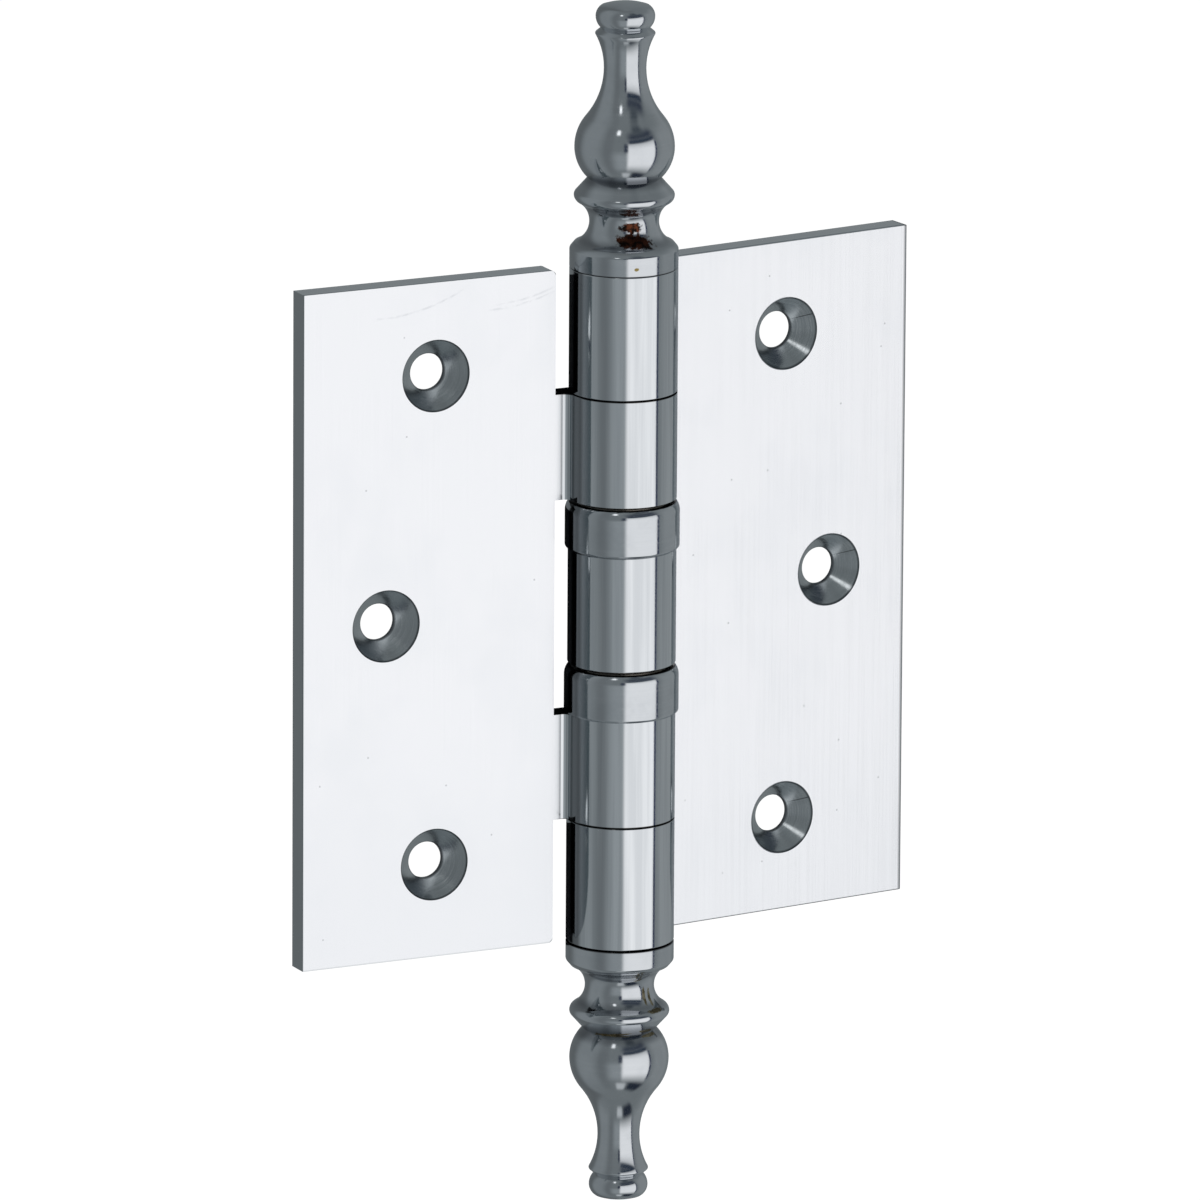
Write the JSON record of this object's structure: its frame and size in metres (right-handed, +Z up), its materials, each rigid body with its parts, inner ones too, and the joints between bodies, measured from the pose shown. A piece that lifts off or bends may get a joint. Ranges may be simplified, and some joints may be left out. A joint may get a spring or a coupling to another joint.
{
  "type": "ball bearing butt hinge",
  "caption": "Square butt hinge with countersunk leaves, a knuckled barrel on ball bearings and turned finials on the pin's ends, for hanging a door.",
  "frame": {"origin": "on the pin's axis, at the middle of the barrel", "axes": "+Z up along the pin, +X from the pin along the frame leaf, +Y out of the frame leaf's back, away from the screw heads"},
  "size_m": [0.0883, 0.0175, 0.1582],
  "materials": {
    "polished_chrome": "polished",
    "pin_steel": "satin",
    "bearing_steel": "gloss",
    "cage_brass": "satin"
  },
  "bodies": {
    "frame": {"frame_leaf": "polished_chrome", "hinge_pin": "pin_steel", "top_finial": "polished_chrome", "bottom_finial": "polished_chrome", "upper_casing": "polished_chrome", "upper_bottom_race": "bearing_steel", "lower_top_race": "bearing_steel"},
    "door": {"door_leaf": "polished_chrome", "upper_top_race": "bearing_steel", "lower_casing": "polished_chrome", "lower_bottom_race": "bearing_steel"},
    "upper_cage": {"upper_ball_cage": "cage_brass", "upper_ball_1": "bearing_steel", "upper_ball_2": "bearing_steel", "upper_ball_3": "bearing_steel", "upper_ball_4": "bearing_steel", "upper_ball_5": "bearing_steel", "upper_ball_6": "bearing_steel", "upper_ball_7": "bearing_steel", "upper_ball_8": "bearing_steel"},
    "lower_cage": {"lower_ball_cage": "cage_brass", "lower_ball_1": "bearing_steel", "lower_ball_2": "bearing_steel", "lower_ball_3": "bearing_steel", "lower_ball_4": "bearing_steel", "lower_ball_5": "bearing_steel", "lower_ball_6": "bearing_steel", "lower_ball_7": "bearing_steel", "lower_ball_8": "bearing_steel"}
  },
  "joints": [
    {"name": "leaf_swing", "type": "hinge", "parent": "frame", "child": "door", "pos_m": [0, 0, 0], "axis": [0, 0, 1], "range_deg": [-112.8, 187.2]},
    {"name": "upper_cage_turn", "type": "hinge", "parent": "frame", "child": "upper_cage", "pos_m": [0, 0, 0], "axis": [0, 0, 1], "range_deg": [-56.4, 93.6]},
    {"name": "lower_cage_turn", "type": "hinge", "parent": "frame", "child": "lower_cage", "pos_m": [0, 0, 0], "axis": [0, 0, 1], "range_deg": [-56.4, 93.6]}
  ],
  "couplings": [
    {"joint": "upper_cage_turn", "follows": "leaf_swing", "ratio": 0.5},
    {"joint": "lower_cage_turn", "follows": "leaf_swing", "ratio": 0.5}
  ]
}
